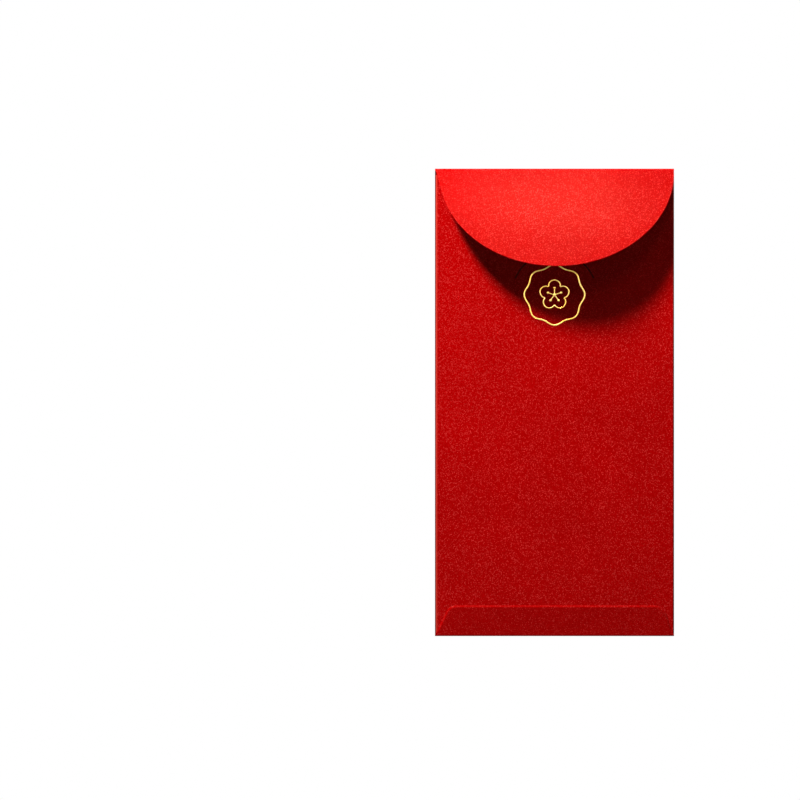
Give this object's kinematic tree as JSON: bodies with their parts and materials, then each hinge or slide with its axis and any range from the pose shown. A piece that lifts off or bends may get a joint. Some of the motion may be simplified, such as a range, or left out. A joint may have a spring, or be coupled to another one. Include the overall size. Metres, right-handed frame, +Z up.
{
  "type": "red envelope",
  "caption": "Tall red paper gift-money envelope with a half-round hinged top flap, a tuck-lock tongue, a glued bottom flap and raised gold foil blossoms on its front.",
  "frame": {"origin": "middle of the front's bottom edge, on the outer face of the front panel", "axes": "+Z up towards the flap's fold, +X to the right seen from the stamped front, +Y from the front through to the flap side"},
  "size_m": [0.09, 0.0152, 0.176],
  "materials": {
    "red_paper": "pearl satin",
    "glue": "matte",
    "gold_foil": "satin"
  },
  "bodies": {
    "envelope_body": {"front_panel": "red_paper", "back_panel": "red_paper", "side_fold": "red_paper", "seam_fold": "red_paper", "seam_tab": "red_paper", "bottom_fold": "red_paper", "bottom_flap": "red_paper", "seam_glue": "glue", "bottom_glue": "glue", "seal_frame": "gold_foil", "seal_blossom": "gold_foil", "branch": "gold_foil", "buds": "gold_foil", "loose_petals": "gold_foil", "lozenge_knot": "gold_foil", "blossom_large": "gold_foil", "blossom_right": "gold_foil", "blossom_left": "gold_foil", "blossom_low": "gold_foil"},
    "flap": {"top_flap": "red_paper", "flap_crease": "red_paper"},
    "lock_tongue": {"lock_tab": "red_paper", "seal_crest": "gold_foil"}
  },
  "joints": [
    {"name": "flap_fold", "type": "hinge", "parent": "envelope_body", "child": "flap", "pos_m": [0, 0.00097, 0.17503], "axis": [1, 0, 0], "range_deg": [-20, 160], "stiffness_Nm_per_rad": 0.001, "springref_deg": 2.25},
    {"name": "tongue_lift", "type": "hinge", "parent": "envelope_body", "child": "lock_tongue", "pos_m": [0, 0.0014, 0.13475], "axis": [-1, 0, 0], "range_deg": [0, 30], "stiffness_Nm_per_rad": 0.0003}
  ]
}
